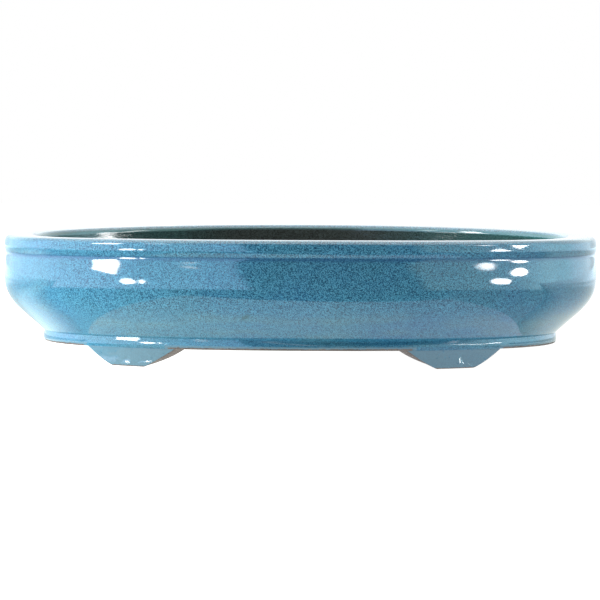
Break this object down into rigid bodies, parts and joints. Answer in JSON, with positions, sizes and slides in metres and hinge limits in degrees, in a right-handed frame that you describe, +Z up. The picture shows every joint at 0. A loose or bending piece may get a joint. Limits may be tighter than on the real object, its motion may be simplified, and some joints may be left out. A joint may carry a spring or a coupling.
{
  "type": "bonsai pot",
  "caption": "Shallow oval blue-glazed bonsai pot with an upright rim band, bulging belly, low base moulding and bracket feet.",
  "frame": {"origin": "centre of the pot's footprint, on the plane that its four feet stand on", "axes": "+X along the long side to the right, +Y across to the back, +Z up"},
  "size_m": [0.46, 0.36, 0.097],
  "materials": {
    "blue_glaze": "glossy speckled blue and teal glaze over stoneware",
    "bare_clay": "unglazed brown-grey fired stoneware, matte and slightly gritty"
  },
  "bodies": {
    "root": {"rim_band": "blue_glaze", "bowl_wall": "blue_glaze", "base_band": "blue_glaze", "floor_slab": "bare_clay", "foot_front_left": "blue_glaze", "foot_front_right": "blue_glaze", "foot_back_left": "blue_glaze", "foot_back_right": "blue_glaze"}
  },
  "joints": []
}
